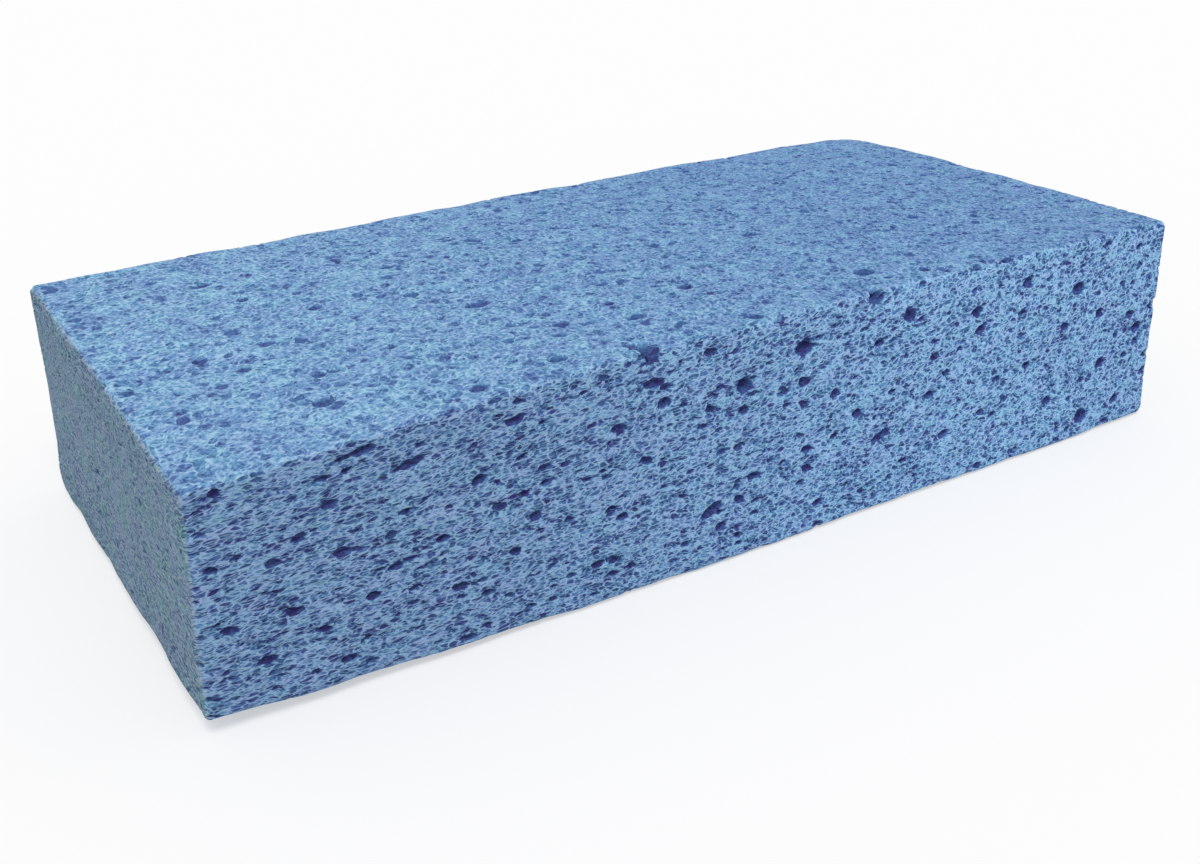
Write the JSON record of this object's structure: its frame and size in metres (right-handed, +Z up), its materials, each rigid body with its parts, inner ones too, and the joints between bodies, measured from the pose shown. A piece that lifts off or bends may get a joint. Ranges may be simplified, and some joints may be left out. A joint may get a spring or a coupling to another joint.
{
  "type": "cleaning sponge",
  "caption": "Rectangular open-celled cleaning sponge with a gently domed top, for wetting, wiping and rinsing surfaces by hand.",
  "frame": {"origin": "centre of the box of the sponge, at the level it rests on", "axes": "+X along the length, towards the end whose back upright corner is rounder; +Y across the width, towards the back; +Z up out of the domed top"},
  "size_m": [0.2032, 0.0988, 0.0435],
  "materials": {
    "sponge": "dry blue cellulose sponge, matte, open pores all over"
  },
  "bodies": {
    "root": {"sponge": "sponge"}
  },
  "joints": []
}
